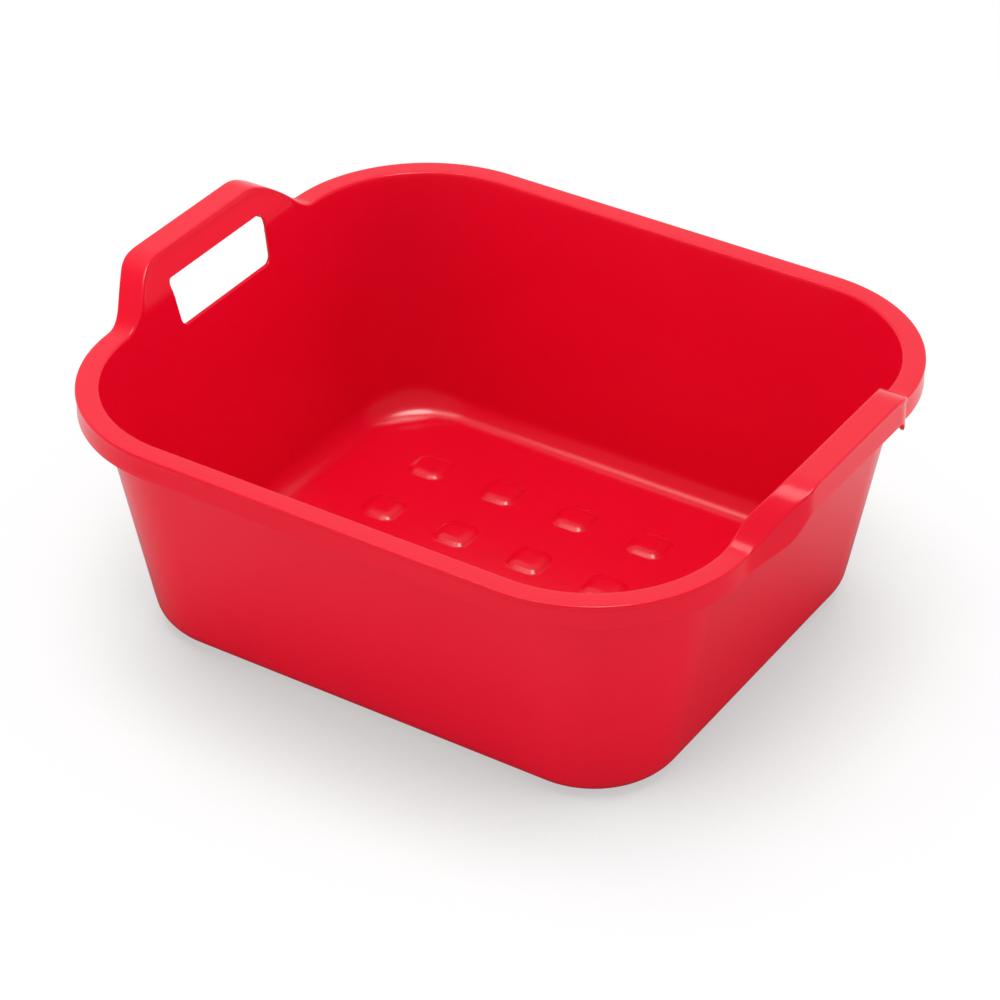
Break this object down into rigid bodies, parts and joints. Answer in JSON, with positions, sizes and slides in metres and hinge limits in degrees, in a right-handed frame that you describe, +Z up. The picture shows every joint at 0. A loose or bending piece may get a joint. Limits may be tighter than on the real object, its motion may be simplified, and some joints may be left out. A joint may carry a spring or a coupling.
{
  "type": "washing up bowl",
  "caption": "Rectangular moulded plastic washing up bowl with round corners, tapered walls, a flanged rim, raised end handles with hand-holes and a bumpy draining floor.",
  "frame": {"origin": "middle of the bowl's footprint, on the surface that it stands on", "axes": "+X along the bowl's length towards the right handle, +Y across its width towards the back, +Z up"},
  "size_m": [0.3894, 0.322, 0.1615],
  "materials": {
    "red_plastic": "moulded polypropylene, pigmented red all through, satin gloss"
  },
  "bodies": {
    "root": {"base_panel": "red_plastic", "front_wall": "red_plastic", "back_wall": "red_plastic", "left_wall": "red_plastic", "right_wall": "red_plastic", "front_rim": "red_plastic", "back_rim": "red_plastic", "left_handle": "red_plastic", "right_handle": "red_plastic", "floor_bumps": "red_plastic"}
  },
  "joints": []
}
